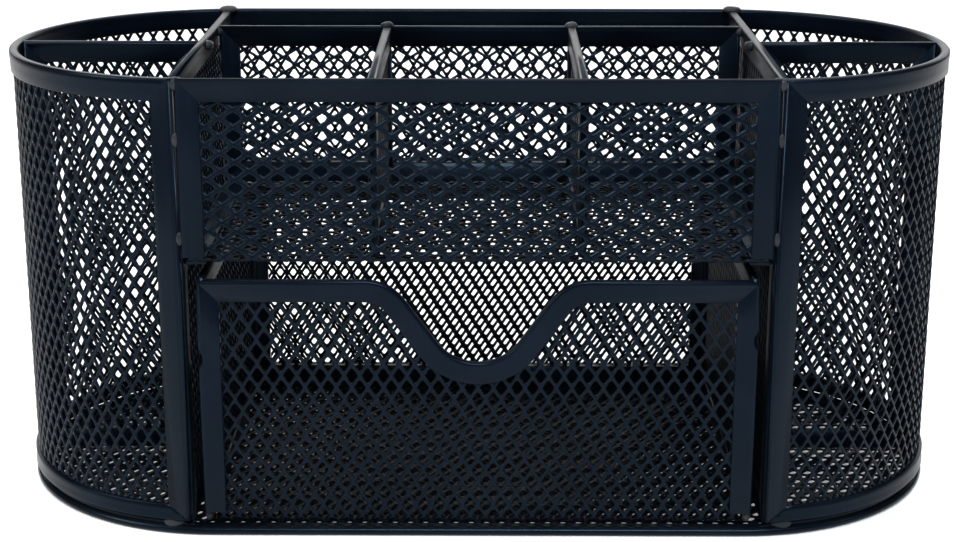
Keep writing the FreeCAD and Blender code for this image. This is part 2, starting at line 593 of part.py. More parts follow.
# Its sheet follows the scoop, turns at the foot and becomes the floor.
blank = new_body("drawer_blank")
blank_outline = sketch_on(blank, "XZ_Plane", "drawer_blank_outline")
draw_scooped(blank_outline, WEB, "bead_height")
pad(blank, blank_outline, "3 * overall_depth", "drawer_blank_solid")
bent_sheet = folded_sheet("drawer_bent_sheet", DRAWER_HALF,
                          f"({DRAWER_FRONT} - channel / 2 + mesh_sheet / 2)",
                          DRAWER_BACK, DRAWER_UNDERSIDE, DRAWER_TOP)
keep(common("drawer_mesh", bent_sheet, blank), "drawer_mesh")

drawer_middle = f"({DRAWER_TOP} + {DRAWER_FLOOR}) / 2"
drawer_wall = f"({DRAWER_TOP} - {DRAWER_FLOOR})"
for side, hand in ((-1, "left"), (1, "right")):
    framed_panel(f"drawer_side_{hand}", "y",
                 (f"{side} * ({DRAWER_HALF} - channel / 2)", f"({DRAWER_BACK} - {DRAWER_FRONT}) / 2",
                  drawer_middle),
                 f"({DRAWER_BACK} + {DRAWER_FRONT} - 2 * channel)", drawer_wall)
framed_panel("drawer_back", "x", ("0", f"{DRAWER_BACK} - channel / 2", drawer_middle),
             f"2 * {DRAWER_HALF}", drawer_wall)

weld_low = f"({DRAWER_FLOOR} + fold_inside)"
drawer_welds = [block(f"drawer_weld_{hand}",
                      (f"{side} * ({DRAWER_HALF} - channel / 2) - channel / 2",
                       f"{drawer_face} + mesh_sheet / 2", weld_low),
                      ("channel", "channel / 2 - mesh_sheet / 2", f"{frame_foot} - {weld_low}"))
                for side, hand in ((-1, "left"), (1, "right"))]
keep(grouped("drawer_welds", drawer_welds), "drawer_welds")

# ---------------------------------------------------------------- checks and files
doc.recompute()
for item in doc.Objects:
    if {"Invalid", "Error"} & set(item.State):
        raise RuntimeError(f"{item.Name} failed: {item.State}")
for piece in subparts:
    if piece.Shape.isNull() or not piece.Shape.isValid():
        raise RuntimeError(f"{piece.Label} has no valid shape")

os.makedirs("parts", exist_ok=True)
for piece in subparts:
    piece.Shape.exportStep(os.path.join("parts", piece.Label + ".step"))
    box = piece.Shape.BoundBox
    print(f"{piece.Label:26s} {piece.Shape.Volume:9.1f} mm3  x {box.XMin:7.2f} {box.XMax:7.2f}"
          f"  y {box.YMin:7.2f} {box.YMax:7.2f}  z {box.ZMin:7.2f} {box.ZMax:7.2f}",
          len(piece.Shape.Solids))
print(len(subparts), "sub-parts")
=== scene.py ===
import bmesh
import bpy
import math
from mathutils import Matrix, Vector


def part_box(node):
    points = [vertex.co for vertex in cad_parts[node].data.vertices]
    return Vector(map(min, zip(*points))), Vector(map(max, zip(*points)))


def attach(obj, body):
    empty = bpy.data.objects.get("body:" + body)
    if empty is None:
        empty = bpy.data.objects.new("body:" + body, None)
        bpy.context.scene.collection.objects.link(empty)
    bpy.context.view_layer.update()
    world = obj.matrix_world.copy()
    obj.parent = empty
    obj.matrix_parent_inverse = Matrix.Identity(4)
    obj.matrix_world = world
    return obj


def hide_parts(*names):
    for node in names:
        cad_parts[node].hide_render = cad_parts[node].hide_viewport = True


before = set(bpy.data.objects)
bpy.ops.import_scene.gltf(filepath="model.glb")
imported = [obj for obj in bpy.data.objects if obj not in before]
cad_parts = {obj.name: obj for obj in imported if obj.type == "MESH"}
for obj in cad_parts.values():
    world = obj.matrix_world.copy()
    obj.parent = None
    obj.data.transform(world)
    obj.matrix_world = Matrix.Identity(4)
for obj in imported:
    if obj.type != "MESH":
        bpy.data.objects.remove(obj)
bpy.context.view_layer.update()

# ---------------------------------------------------------------- mesh floor of the base
# Expanded steel: a sheet is slit and pulled open, so its strands lean over and join in blunt knuckles.
# The floor is one flat piece of it in satin black powder paint, cut to a stadium and gripped by the rim.
SHORT_WAY = 0.0035
LONG_WAY = 0.0056
SHEET_THICKNESS = 0.00045
END_FACETS = 32


def expanded_sheet(width, height, strand=0.00062, lean=0.0002, coarse=1.0, long_across=False,
                   shift=(0.0, 0.0)):
    """Flat diamond mesh in x and y about the origin, its holes standing tall or lying across.

    The strands are strand wide and lean out of the sheet by up to lean.  Coarse is how many times the
    usual size its holes are, and shift moves the pattern by a share of a hole.
    """
    short_way, long_way = SHORT_WAY * coarse, LONG_WAY * coarse
    across, up = (height, width) if long_across else (width, height)
    columns = math.ceil(across / short_way) + 2
    rows = math.ceil(up / long_way) + 2
    mesh = bmesh.new()
    bmesh.ops.create_grid(mesh, x_segments=columns, y_segments=rows, size=0.5)
    bmesh.ops.scale(mesh, vec=(columns * short_way, rows * long_way, 1.0), verts=mesh.verts)
    slits = [edge for edge in mesh.edges if not edge.is_boundary]
    bmesh.ops.poke(mesh, faces=mesh.faces[:])
    bmesh.ops.dissolve_edges(mesh, edges=slits, use_verts=False)
    holes = mesh.faces[:]
    bmesh.ops.inset_individual(mesh, faces=holes, thickness=strand / 2, use_even_offset=True)
    blunt = []
    for hole in holes:
        middle = hole.calc_center_median().x
        for corner in hole.verts:
            side = (corner.co.x - middle) / short_way
            corner.co.z += 2 * lean * side
            if abs(side) < 0.01:
                blunt.append(corner)
    bmesh.ops.delete(mesh, geom=holes, context="FACES_ONLY")
    bmesh.ops.bevel(mesh, geom=blunt, offset=1.1 * strand, affect="VERTICES", segments=2, profile=0.5,
                    material=-1)
    bmesh.ops.translate(mesh, vec=(shift[0] * short_way, shift[1] * long_way, 0.0), verts=mesh.verts)
    if long_across:
        bmesh.ops.rotate(mesh, matrix=Matrix.Rotation(math.pi / 2, 3, "Z"), verts=mesh.verts)
    for axis, half in ((Vector((1, 0, 0)), width / 2), (Vector((0, 1, 0)), height / 2)):
        for outward in (axis, -axis):
            trim(mesh, outward * half, outward)
    return mesh


def trim(mesh, point, outward):
    """Cuts off what lies beyond a plane."""
    everything = mesh.verts[:] + mesh.edges[:] + mesh.faces[:]
    return bmesh.ops.bisect_plane(mesh, geom=everything, dist=1e-7, plane_co=point, plane_no=outward,
                                  clear_outer=True)


def add_piece(name, mesh, material, thickness=0.0):
    """Makes an object of a finished mesh.  A thin sheet gets its thickness here."""
    for face in mesh.faces:
        face.smooth = True
    data = bpy.data.meshes.new(name)
    mesh.to_mesh(data)
    mesh.free()
    data.materials.append(material)
    piece = bpy.data.objects.new(name, data)
    bpy.context.scene.collection.objects.link(piece)
    if thickness:
        wall = piece.modifiers.new("thickness", "SOLIDIFY")
        wall.thickness = thickness
        wall.offset = 0.0
    return piece


def powder_paint(name, deep, pale, gloss, grain, peel):
    """Baked powder paint: cloudy near-black colour, uneven satin gloss, and a fine orange-peel skin."""
    paint = bpy.data.materials.new(name)
    paint.use_nodes = True
    nodes, links = paint.node_tree.nodes, paint.node_tree.links
    shader = nodes["Principled BSDF"]
    shader.inputs["Specular IOR Level"].default_value = 0.11
    shader.inputs["Specular Tint"].default_value = (0.4, 0.68, 1.0, 1.0)
    shader.inputs["Coat Weight"].default_value = 0.03
    shader.inputs["Coat Roughness"].default_value = 0.18
    where = nodes.new("ShaderNodeTexCoord")
    clouds = nodes.new("ShaderNodeTexNoise")
    clouds.inputs["Scale"].default_value = 70.0
    clouds.inputs["Detail"].default_value = 6.0
    colour = nodes.new("ShaderNodeValToRGB")
    colour.color_ramp.elements[0].position = 0.35
    colour.color_ramp.elements[0].color = (*deep, 1.0)
    colour.color_ramp.elements[1].position = 0.7
    colour.color_ramp.elements[1].color = (*pale, 1.0)
    dulling = nodes.new("ShaderNodeMapRange")
    dulling.inputs["To Min"].default_value = gloss[0]
    dulling.inputs["To Max"].default_value = gloss[1]
    skin = nodes.new("ShaderNodeTexNoise")
    skin.inputs["Scale"].default_value = grain
    skin.inputs["Detail"].default_value = 3.0
    bump = nodes.new("ShaderNodeBump")
    bump.inputs["Strength"].default_value = peel
    bump.inputs["Distance"].default_value = 0.0002
    links.new(where.outputs["Object"], clouds.inputs["Vector"])
    links.new(where.outputs["Object"], skin.inputs["Vector"])
    links.new(clouds.outputs["Fac"], colour.inputs["Fac"])
    links.new(colour.outputs["Color"], shader.inputs["Base Color"])
    links.new(clouds.outputs["Fac"], dulling.inputs["Value"])
    links.new(dulling.outputs["Result"], shader.inputs["Roughness"])
    links.new(skin.outputs["Fac"], bump.inputs["Height"])
    links.new(bump.outputs["Normal"], shader.inputs["Normal"])
    return paint


mesh_paint = powder_paint("mesh_paint", (0.0016, 0.0027, 0.005), (0.0035, 0.0052, 0.009), (0.26, 0.42),
                          1400.0, 0.25)

rim_low, rim_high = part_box("base_ring")
end_centre = rim_high.x - rim_high.y
floor_low, floor_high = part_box("base_mesh")
floor_radius = floor_high.y - 0.001

# Its strands are broad and lean far over, so that little of the desk shows through from in front.
base_floor = expanded_sheet(2 * (end_centre + floor_radius), 2 * floor_radius, strand=0.00105, lean=0.0005)
for side in (-1, 1):
    for step in range(END_FACETS):
        angle = math.radians((step + 0.5) * 180 / END_FACETS - 90)
        outward = Vector((side * math.cos(angle), math.sin(angle), 0.0))
        trim(base_floor, Vector((side * end_centre, 0, 0)) + outward * floor_radius, outward)
bmesh.ops.translate(base_floor, vec=(0, 0, (floor_low.z + floor_high.z) / 2), verts=base_floor.verts)
base_sheet = add_piece("base_sheet", base_floor, mesh_paint, SHEET_THICKNESS)
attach(base_sheet, "housing")
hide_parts("base_mesh")

# ---------------------------------------------------------------- rolled rim of the base
# A steel strip rolled into a flattened bead round the edge of the floor.  It is what stands on the desk.
# Thick powder paint pools on it.  A thin lip on it stands up behind the foot of the wall, and is pressed
# flat in front, where the drawer passes over it.
bead_paint = powder_paint("bead_paint", (0.0018, 0.0029, 0.005), (0.0036, 0.0054, 0.009), (0.22, 0.36),
                          900.0, 0.2)
bead_width = 0.004
bead_height = rim_high.z - rim_low.z
squareness = 1.18
bead = bmesh.new()
bmesh.ops.create_circle(bead, segments=20, radius=0.5)
bmesh.ops.scale(bead, vec=(bead_width, bead_height, 1.0), verts=bead.verts)
for vert in bead.verts:
    vert.co.y = math.copysign(min(abs(vert.co.y) * squareness, bead_height / 2), vert.co.y)
bead_lip = bmesh.ops.create_circle(bead, segments=8, radius=0.5)["verts"]
bmesh.ops.scale(bead, vec=(0.0004, 0.0016, 1.0), verts=bead_lip)
bmesh.ops.translate(bead, vec=(-0.0006, 0.0013, 0.0), verts=bead_lip)
bmesh.ops.rotate(bead, matrix=Matrix.Rotation(math.pi / 2, 3, "X"), verts=bead.verts)
bmesh.ops.rotate(bead, matrix=Matrix.Rotation(math.pi / 2, 3, "Z"), verts=bead.verts)
bmesh.ops.translate(bead, vec=(end_centre, bead_width / 2 - rim_high.y, (rim_high.z + rim_low.z) / 2),
                    verts=bead.verts)
# Round the right end, along the back, round the left end and along the front.
profile = bead.edges[:]
for centre, travel in ((end_centre, -2 * end_centre), (-end_centre, 2 * end_centre)):
    swept = bmesh.ops.spin(bead, geom=profile, cent=(centre, 0, 0), axis=(0, 0, 1), angle=math.pi, steps=48)
    reached = [e for e in swept["geom_last"] if isinstance(e, bmesh.types.BMEdge)]
    drawn = bmesh.ops.extrude_edge_only(bead, edges=reached)
    moved = [v for v in drawn["geom"] if isinstance(v, bmesh.types.BMVert)]
    bmesh.ops.translate(bead, vec=(travel, 0, 0), verts=moved)
    drawn_edges = [e for e in drawn["geom"] if isinstance(e, bmesh.types.BMEdge)]
    profile = [e for e in drawn_edges if all(v in moved for v in e.verts)]
bmesh.ops.remove_doubles(bead, verts=bead.verts, dist=1e-5)
bmesh.ops.recalc_face_normals(bead, faces=bead.faces)
post_low, post_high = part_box("wall_post_right")
for vert in bead.verts:
    if vert.co.z > rim_high.z + 1e-5 and vert.co.y < 0 and abs(vert.co.x) < post_low.x:
        vert.co.z = rim_high.z - 0.0002
base_bead = add_piece("base_bead", bead, bead_paint)
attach(base_bead, "housing")
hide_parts("base_ring")

# ---------------------------------------------------------------- curved wall
# One expanded sheet wraps the left end, the back and the right end.  A strip folded into a U grips its
# rim and foot and runs down both front ends as posts, mitred at the corners and spot welded.
channel_deep, channel_pale = (0.0014, 0.0027, 0.0055), (0.003, 0.005, 0.0095)
channel_paint = powder_paint("channel_paint", channel_deep, channel_pale, (0.25, 0.38), 1100.0, 0.14)
top_low, top_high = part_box("wall_top_channel")
foot_low, foot_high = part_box("wall_bottom_channel")
divider_low, divider_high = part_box("back_divider_frame")
channel = divider_high.y - divider_low.y
hem = post_high.x - post_low.x
foot_hem = foot_high.z - foot_low.z
wall_height = top_high.z - foot_low.z
wall_radius = top_high.y - channel / 2
CREASE = 0.0001
# How wide a folded strip is, as a share of its full thickness, at each depth below its fold.
FOLD_SHAPE = ((0.0, 0.3), (0.008, 0.5), (0.025, 0.7), (0.06, 0.86), (0.11, 0.96), (0.17, 1.0), (0.27, 1.0),
              (0.36, 0.97), (0.48, 0.92), (0.6, 0.9), (0.97, 0.89), (1.0, 0.78))


def divide(mesh, axis, places):
    """Cuts extra edges across a mesh at each place, so that it can be shaped or bent there."""
    for place in places:
        everything = mesh.verts[:] + mesh.edges[:] + mesh.faces[:]
        bmesh.ops.bisect_plane(mesh, geom=everything, dist=1e-7, plane_co=axis * place, plane_no=axis)


def folded_bar(length, width, neighbours=(0.0, 0.0), thick=channel, round_ends=(0.0, 0.0)):
    """U-folded strip along x.  Its fold is at y = 0 and its two legs reach down to -width.

    Each neighbour is the width of the strip that it meets in a mitre at that end, or 0 for a cut end.
    """
    bar = bmesh.new()
    bmesh.ops.create_cube(bar, size=1.0)
    bmesh.ops.scale(bar, vec=(length, width, thick), verts=bar.verts)
    bmesh.ops.translate(bar, vec=(length / 2, -width / 2, 0), verts=bar.verts)
    for corner, inward, neighbour, rounding in ((0.0, 1, neighbours[0], round_ends[0]),
                                                (length, -1, neighbours[1], round_ends[1])):
        cuts = []
        if neighbour:
            cuts.append((Vector((corner, 0, 0)), Vector((-inward * width, -neighbour, 0)).normalized()))
        if rounding:
            centre = Vector((corner + inward * rounding, -rounding, 0))
            for step in range(4):
                angle = math.radians((step + 0.5) * (45 if neighbour else 90) / 4)
                outward = Vector((-inward * math.sin(angle), math.cos(angle), 0))
                cuts.append((centre + outward * rounding, outward))
        for point, outward in cuts:
            sliced = trim(bar, point, outward)
            rim = [e for e in sliced["geom_cut"] if isinstance(e, bmesh.types.BMEdge)]
            bmesh.ops.contextual_create(bar, geom=rim)
    divide(bar, Vector((0, 1, 0)), [-width * depth for depth, half in FOLD_SHAPE[1:-1]])
    depths = [depth for depth, half in FOLD_SHAPE]
    for vert in bar.verts:
        depth = -vert.co.y / width
        beyond = max(1, sum(depth > limit for limit in depths[:-1]))
        (start, narrow), (end, wide) = FOLD_SHAPE[beyond - 1], FOLD_SHAPE[beyond]
        share = min(max((depth - start) / (end - start), 0.0), 1.0)
        vert.co.z *= narrow + (wide - narrow) * share
    ends = [e for e in bar.edges if len(e.link_faces) == 2 and e.calc_face_angle(0) > 1.0
            and max(abs(f.normal.x) for f in e.link_faces) > 0.5]
    bmesh.ops.bevel(bar, geom=ends, offset=CREASE, affect="EDGES", segments=1, profile=0.5, material=-1,
                    clamp_overlap=True)
    return bar


def evenly(start, end, pitch):
    """Places from start to end, about one pitch apart."""
    count = max(1, math.ceil(abs(end - start) / pitch))
    return [start + (end - start) * step / count for step in range(count + 1)]


def bend_along(mesh, runs):
    """Bends what was made along x.  Each run is a length and the angle that it turns left through."""
    for vert in mesh.verts:
        left_over, heading, reached = vert.co.x, 0.0, Vector((0.0, 0.0))
        for length, turn in runs:
            step = min(left_over, length)
            new_heading = heading + turn * step / length
            if turn:
                chord = Vector((math.sin(new_heading) - math.sin(heading),
                                math.cos(heading) - math.cos(new_heading)))
                reached += chord * length / turn
            else:
                reached += Vector((math.cos(heading), math.sin(heading))) * step
            heading = new_heading
            left_over -= step
            if left_over <= 0:
                break
        reached += Vector((math.cos(heading), math.sin(heading))) * left_over
        reached += Vector((-math.sin(heading), math.cos(heading))) * vert.co.y
        vert.co = (reached.x, reached.y, vert.co.z)


def merged(parts):
    """One mesh of several."""
    whole = bmesh.new()
    for part in parts:
        data = bpy.data.meshes.new("part")
        part.to_mesh(data)
        part.free()
        whole.from_mesh(data)
        bpy.data.meshes.remove(data)
    return whole


def turned(mesh, angle, axis, move=(0, 0, 0)):
    """Turns a mesh about the origin, then moves it."""
    bmesh.ops.rotate(mesh, matrix=Matrix.Rotation(math.radians(angle), 3, axis), verts=mesh.verts)
    bmesh.ops.translate(mesh, vec=move, verts=mesh.verts)
    return mesh


end_turn = math.pi - math.asin((post_low.x - end_centre) / wall_radius)
end_run = end_turn * wall_radius
wall_runs = [(end_run, -end_turn), (2 * end_centre, 0.0), (end_run, -end_turn)]
wall_length = 2 * end_run + 2 * end_centre
facet = 0.0022
curved_places = evenly(0, end_run, facet) + evenly(end_run + 2 * end_centre, wall_length, facet)


def wrap_round(mesh, height):
    """Wraps a flat mesh, made along x and standing up from z = 0, round the organizer."""
    bend_along(mesh, wall_runs)
    front_x = -end_centre - wall_radius * math.sin(end_turn)
    front_y = wall_radius * math.cos(end_turn)
    return turned(mesh, math.degrees(end_turn), "Z", Vector((front_x, front_y, height)))


# The sheet is made in two halves, which meet edge to edge at the middle of the back.
for side, hand in ((-1, "left"), (1, "right")):
    curtain = expanded_sheet(wall_length - 0.002, top_low.z - foot_high.z + 0.003)
    trim(curtain, Vector((0, 0, 0)), Vector((-side, 0, 0)))
    turned(curtain, 90, "X", (wall_length / 2, 0, (top_low.z + foot_high.z) / 2))
    wall_sheet = add_piece(f"wall_sheet_{hand}", wrap_round(curtain, 0.0), mesh_paint, SHEET_THICKNESS)
    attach(wall_sheet, "housing")
    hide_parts("wall_mesh")

wall_bars = {
    "wall_top_hem": ("wall_top_channel", folded_bar(wall_length, hem, (hem, hem)),
                     0, (0, 0, wall_height)),
    "wall_foot_hem": ("wall_bottom_channel", folded_bar(wall_length, foot_hem, (hem, hem)),
                      180, (wall_length, 0, 0)),
    "wall_post_left_hem": ("wall_post_left", folded_bar(wall_height, hem, (foot_hem, hem)),
                           -90, (0, 0, 0)),
    "wall_post_right_hem": ("wall_post_right", folded_bar(wall_height, hem, (hem, foot_hem)),
                            90, (wall_length, 0, wall_height)),
}
for name, (node, bar, turn, start) in wall_bars.items():
    turned(bar, 90, "X")
    turned(bar, turn, "Y", start)
    divide(bar, Vector((1, 0, 0)), curved_places)
    hem_piece = add_piece(name, wrap_round(bar, foot_low.z), channel_paint)
    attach(hem_piece, "housing")
    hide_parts(node)

# ---------------------------------------------------------------- flat panels of the housing
# Side panels, end dividers, the long divider and the two short ones are all made alike: a rectangle of
# expanded sheet with a U-folded strip round it, mitred at the four corners and welded there.
SHEET_INSET = 0.0007


def flat_hem(width, height, edges="TRBL"):
    """Folded strips round a rectangle in x and y, mitred where two of them meet."""
    right, top = width / 2, height / 2
    outline = {"T": (width, 0, (-right, top, 0), "LR"), "R": (height, -90, (right, top, 0), "TB"),
               "B": (width, 180, (right, -top, 0), "RL"), "L": (height, 90, (-right, -top, 0), "BT")}
    bars = []
    for edge in edges:
        length, turn, start, meets = outline[edge]
        neighbours = [hem if other in edges else 0.0 for other in meets]
        bars.append(turned(folded_bar(length, hem, neighbours), turn, "Z", start))
    return merged(bars)


def corner_seam(x, y):
    """Slim weld bead that closes the mitre of a corner, from the corner inwards."""
    seam = bmesh.new()
    bmesh.ops.create_icosphere(seam, subdivisions=2, radius=0.5)
    bmesh.ops.scale(seam, vec=(1.25 * hem, 0.0005, 0.97 * channel), verts=seam.verts)
    lean = 45 if x * y > 0 else -45
    return turned(seam, lean, "Z", (x - math.copysign(hem / 2, x), y - math.copysign(hem / 2, y), 0))


def stand_up(mesh, low, high):
    """Stands a flat mesh up in the middle of a box, along the box's longer side."""
    turned(mesh, 90, "X")
    if high.y - low.y > high.x - low.x:
        turned(mesh, 90, "Z")
    bmesh.ops.translate(mesh, vec=(low + high) / 2, verts=mesh.verts)
    return mesh


def framed_panel(name, body, **mesh_options):
    """One panel: its hem and its sheet, each standing for its own CAD node."""
    low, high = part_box(f"{name}_frame")
    width, height = max(high.x - low.x, high.y - low.y), high.z - low.z
    seams = [corner_seam(x * width / 2, y * height / 2) for x in (-1, 1) for y in (-1, 1)]
    border = merged([flat_hem(width, height)] + seams)
    strips = add_piece(f"{name}_hem", stand_up(border, low, high), channel_paint)
    cloth = expanded_sheet(width - 2 * SHEET_INSET, height - 2 * SHEET_INSET, **mesh_options)
    sheet = add_piece(f"{name}_sheet", stand_up(cloth, low, high), mesh_paint, SHEET_THICKNESS)
    for piece, node, finish in ((strips, "frame", "channel_steel"), (sheet, "mesh", "mesh_steel")):
        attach(piece, body)
        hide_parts(f"{name}_{node}")


for hand in ("left", "right"):
    framed_panel(f"side_panel_{hand}", "housing")
    framed_panel(f"end_divider_{hand}", "housing", shift=(0.25, 0.4))
    framed_panel(f"tray_divider_{hand}", "housing", coarse=1.1, long_across=True)
framed_panel("back_divider", "housing", coarse=1.13, long_across=True, shift=(0.0, 0.2))

# ---------------------------------------------------------------- tray
# One expanded sheet makes the tray: it stands up as the front panel, turns in a tight fold at the foot
# and runs back as the floor.  Its holes lie across, and its strands are broader than the wall's.
front_low, front_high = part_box("front_panel_frame")
tray_low, tray_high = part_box("tray_floor_frame")
sheet_low, sheet_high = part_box("tray_mesh")
QUARTER = math.pi / 2


def folded_cloth(width, rise, run, fold_round, top, front, **mesh_options):
    """Expanded sheet that comes down the front, turns inwards and becomes a floor."""
    arc = QUARTER * fold_round
    length = rise + run - 2 * fold_round + arc
    cloth = expanded_sheet(width, length, **mesh_options)
    turned(cloth, -90, "Z", (length / 2, 0, 0))
    divide(cloth, Vector((1, 0, 0)), evenly(rise - fold_round, rise - fold_round + arc, arc / 4))
    turned(cloth, 90, "X")
    bend_along(cloth, [(rise - fold_round, 0.0), (arc, QUARTER), (run - fold_round, 0.0)])
    return turned(cloth, 90, "Y", (0, front, top))


front_plane = (front_low.y + front_high.y) / 2
tray_plane = (tray_low.z + tray_high.z) / 2
shear_loss = 0.0004
tray = folded_cloth(2 * sheet_high.x - shear_loss, sheet_high.z - tray_plane,
                    sheet_high.y - front_plane - shear_loss, 0.0009, sheet_high.z, front_plane,
                    strand=0.00095, lean=-0.00038, coarse=1.1, long_across=True)
tray_sheet = add_piece("tray_sheet", tray, mesh_paint, SHEET_THICKNESS)
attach(tray_sheet, "housing")
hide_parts("tray_mesh")

# Folded strips grip its edges: over the top and down both sides in front, round the sides and back below.
# The front one's paint is duller here than it is on the others, to keep the glint on its top edge low.
front_strips = flat_hem(front_high.x - front_low.x, front_high.z - front_low.z, "TRL")
stand_up(front_strips, front_low, front_high)
front_paint = powder_paint("front_paint", channel_deep, channel_pale, (0.5, 0.6), 1100.0, 0.14)
front_hem = add_piece("tray_front_hem", front_strips, front_paint)
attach(front_hem, "housing")
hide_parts("front_panel_frame")

floor_strips = flat_hem(tray_high.x - tray_low.x, tray_high.y - tray_low.y, "TRL")
bmesh.ops.translate(floor_strips, vec=(tray_low + tray_high) / 2, verts=floor_strips.verts)
floor_hem = add_piece("tray_floor_hem", floor_strips, channel_paint)
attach(floor_hem, "housing")
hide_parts("tray_floor_frame")

# ---------------------------------------------------------------- hooks and welds
# Where one strip laps over another its end is pressed round and spot welded.  The welds are small raised
# lumps that the paint has rounded over.
# The welds' paint is several times paler than the rest: that pale colour is a painted highlight on the
# lumps.
pale_weld_highlight_paint = powder_paint("pale_weld_highlight_paint", (0.012, 0.013, 0.015), (0.04, 0.041, 0.042), (0.24, 0.4),
                          700.0, 0.3)


def weld_lump(centre, size, seed=0.0):
    """Rounded, slightly uneven lump that fills a box of the given size."""
    lump = bmesh.new()
    bmesh.ops.create_icosphere(lump, subdivisions=3, radius=0.5)
    for vert in lump.verts:
        swell = 1 + 0.07 * math.sin(9 * vert.co.x + seed) * math.cos(7 * vert.co.y + 2 * seed)
        vert.co *= min(swell, 1.0) if abs(vert.co.z) > 0.45 else swell
    bmesh.ops.scale(lump, vec=Vector(size) * 0.95, verts=lump.verts)
    bmesh.ops.translate(lump, vec=centre, verts=lump.verts)
    return lump


def add_welds(name, node, body, lumps):
    """One piece made of all the welds of one CAD node."""
    welds = add_piece(name, merged(lumps), pale_weld_highlight_paint)
    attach(welds, body)
    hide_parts(node)


side_low, side_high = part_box("side_panel_right_frame")
side_plane = (side_low.x + side_high.x) / 2
for side, hand in ((-1, "left"), (1, "right")):
    low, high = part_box(f"rim_hook_{hand}")
    cap = weld_lump(Vector(((low.x + high.x) / 2, (low.y + high.y) / 2, low.z)),
                    (high.x - low.x, high.y - low.y, 2 * (high.z - low.z)), side)
    add_welds(f"rim_hook_{hand}_lump", f"rim_hook_{hand}", "housing", [cap])

low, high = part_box("divider_hooks")
hook = high.y - low.y
add_welds("divider_hook_lumps", "divider_hooks", "housing",
          [weld_lump(Vector((x, (low.y + high.y) / 2, low.z)), (hook, hook, 2 * (high.z - low.z)), x)
           for x in (low.x + hook / 2, high.x - hook / 2)])

# Lumps at the rim where the end dividers and the long divider meet the side panels.
divider_plane = divider_low.y + channel / 2
joints = [Vector((side * side_low.x, 0.0, side_high.z - 0.0013)) for side in (-1, 1)]
joints += [Vector((side * side_low.x, divider_plane, side_high.z - 0.0014)) for side in (-1, 1)]
joint_lumps = [weld_lump(joint, (0.0034, 0.0036, 0.0025), joint.x * 90) for joint in joints]
joint_welds = add_piece("panel_joint_lumps", merged(joint_lumps), pale_weld_highlight_paint)
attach(joint_welds, "housing")

# Two down each side of the tray's front, and a big one in each of its top corners.
low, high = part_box("front_weld_tabs")
tab = 0.0026
tab_lumps = [weld_lump(Vector((x, front_low.y + 0.0007, z)), (0.0016, 0.0013, tab * 1.3), z)
             for x in (low.x + 0.0001, high.x - 0.0001) for z in (low.z + tab / 2, high.z - tab / 2)]
corner_lumps = [weld_lump(Vector((side * front_high.x, front_low.y + 0.0016, front_high.z - 0.0013)),
                          (0.0046, 0.003, 0.0032), side) for side in (-1, 1)]
add_welds("front_weld_lumps", "front_weld_tabs", "housing", tab_lumps + corner_lumps)

# Seven between the base's rim and the wall: under both posts, at both ends and along the back.
low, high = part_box("foot_welds")
post_middle = side_high.x + 0.0025
foot_places = [(side * post_middle, -wall_radius) for side in (-1, 1)]
foot_places += [(side * (end_centre + wall_radius), 0.0) for side in (-1, 1)]
foot_places += [(share * side_plane, wall_radius) for share in (-1, 0, 1)]
foot_lumps = []
for x, y in foot_places:
    at_end = abs(x) > 0.1
    size = (0.0018, 0.005, 0.0026) if at_end else (0.005, 0.0018, 0.0026)
    centre = Vector((x, y, (low.z + high.z) / 2))
    if y < 0:
        centre.y = -math.sqrt(wall_radius ** 2 - (abs(x) - end_centre) ** 2)
    foot_lumps.append(weld_lump(centre, size, x * 100))
add_welds("foot_weld_lumps", "foot_welds", "housing", foot_lumps)

# ---------------------------------------------------------------- drawer
# A tray of the same mesh that slides out.  The front's strip dips in the middle as a finger scoop, and
# both of its uprights are crimped once in their outer edge.
drawer_low, drawer_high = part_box("drawer_front_frame")
cloth_low, cloth_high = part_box("drawer_mesh")
drawer_half = drawer_high.x
drawer_plane = (drawer_low.y + drawer_high.y) / 2
corner_round = 0.003
scoop_half = 0.025
scoop_depth = 0.019
scoop_round = 0.011
shoulder_round = 0.011
both_rounds = shoulder_round + scoop_round
across = scoop_half
down = both_rounds - scoop_depth
slant = math.sqrt(across ** 2 + down ** 2 - both_rounds ** 2)
scoop_turn = QUARTER - math.atan2(down, across) - math.acos(both_rounds / math.hypot(across, down))
shoulder = (shoulder_round * scoop_turn, -scoop_turn)
bowl = (2 * scoop_round * scoop_turn, 2 * scoop_turn)
lip_runs = [(drawer_half - scoop_half, 0.0), shoulder, (slant, 0.0), bowl,
            (slant, 0.0), shoulder, (drawer_half - scoop_half, 0.0)]
lip_length = sum(length for length, turn in lip_runs)

lip = folded_bar(lip_length, hem, (hem, hem), round_ends=(corner_round, corner_round))
divide(lip, Vector((1, 0, 0)), evenly(lip_runs[0][0], lip_length - lip_runs[0][0], 0.0009))
bend_along(lip, lip_runs)
bmesh.ops.translate(lip, vec=(-drawer_half, 0, 0), verts=lip.verts)

upright = drawer_high.z - drawer_low.z
cut_end_round = 0.0006
notch_round = 0.0027
notch_depth = 0.0012
left_notch_height = 0.0423
right_notch_height = 0.0469
uprights = []
for side, notch_height in ((-1, left_notch_height), (1, right_notch_height)):
    meets, rounds = (0.0, hem), (cut_end_round, corner_round)
    bar = folded_bar(upright, hem, meets if side < 0 else meets[::-1],
                     round_ends=rounds if side < 0 else rounds[::-1])
    up = notch_height - drawer_low.z if side < 0 else drawer_high.z - notch_height
    divide(bar, Vector((1, 0, 0)), evenly(up - notch_round, up + notch_round, 0.00025))
    for vert in bar.verts:
        offset = abs(vert.co.x - up)
        if offset < notch_round:
            limit = notch_round - notch_depth - math.sqrt(notch_round ** 2 - offset ** 2)
            if vert.co.y > limit:
                vert.co.y = limit + 0.1 * (vert.co.y - limit)
    start = (-drawer_half, -upright, 0) if side < 0 else (drawer_half, 0, 0)
    uprights.append(turned(bar, -side * 90, "Z", start))
drawer_strips = merged([lip] + uprights)
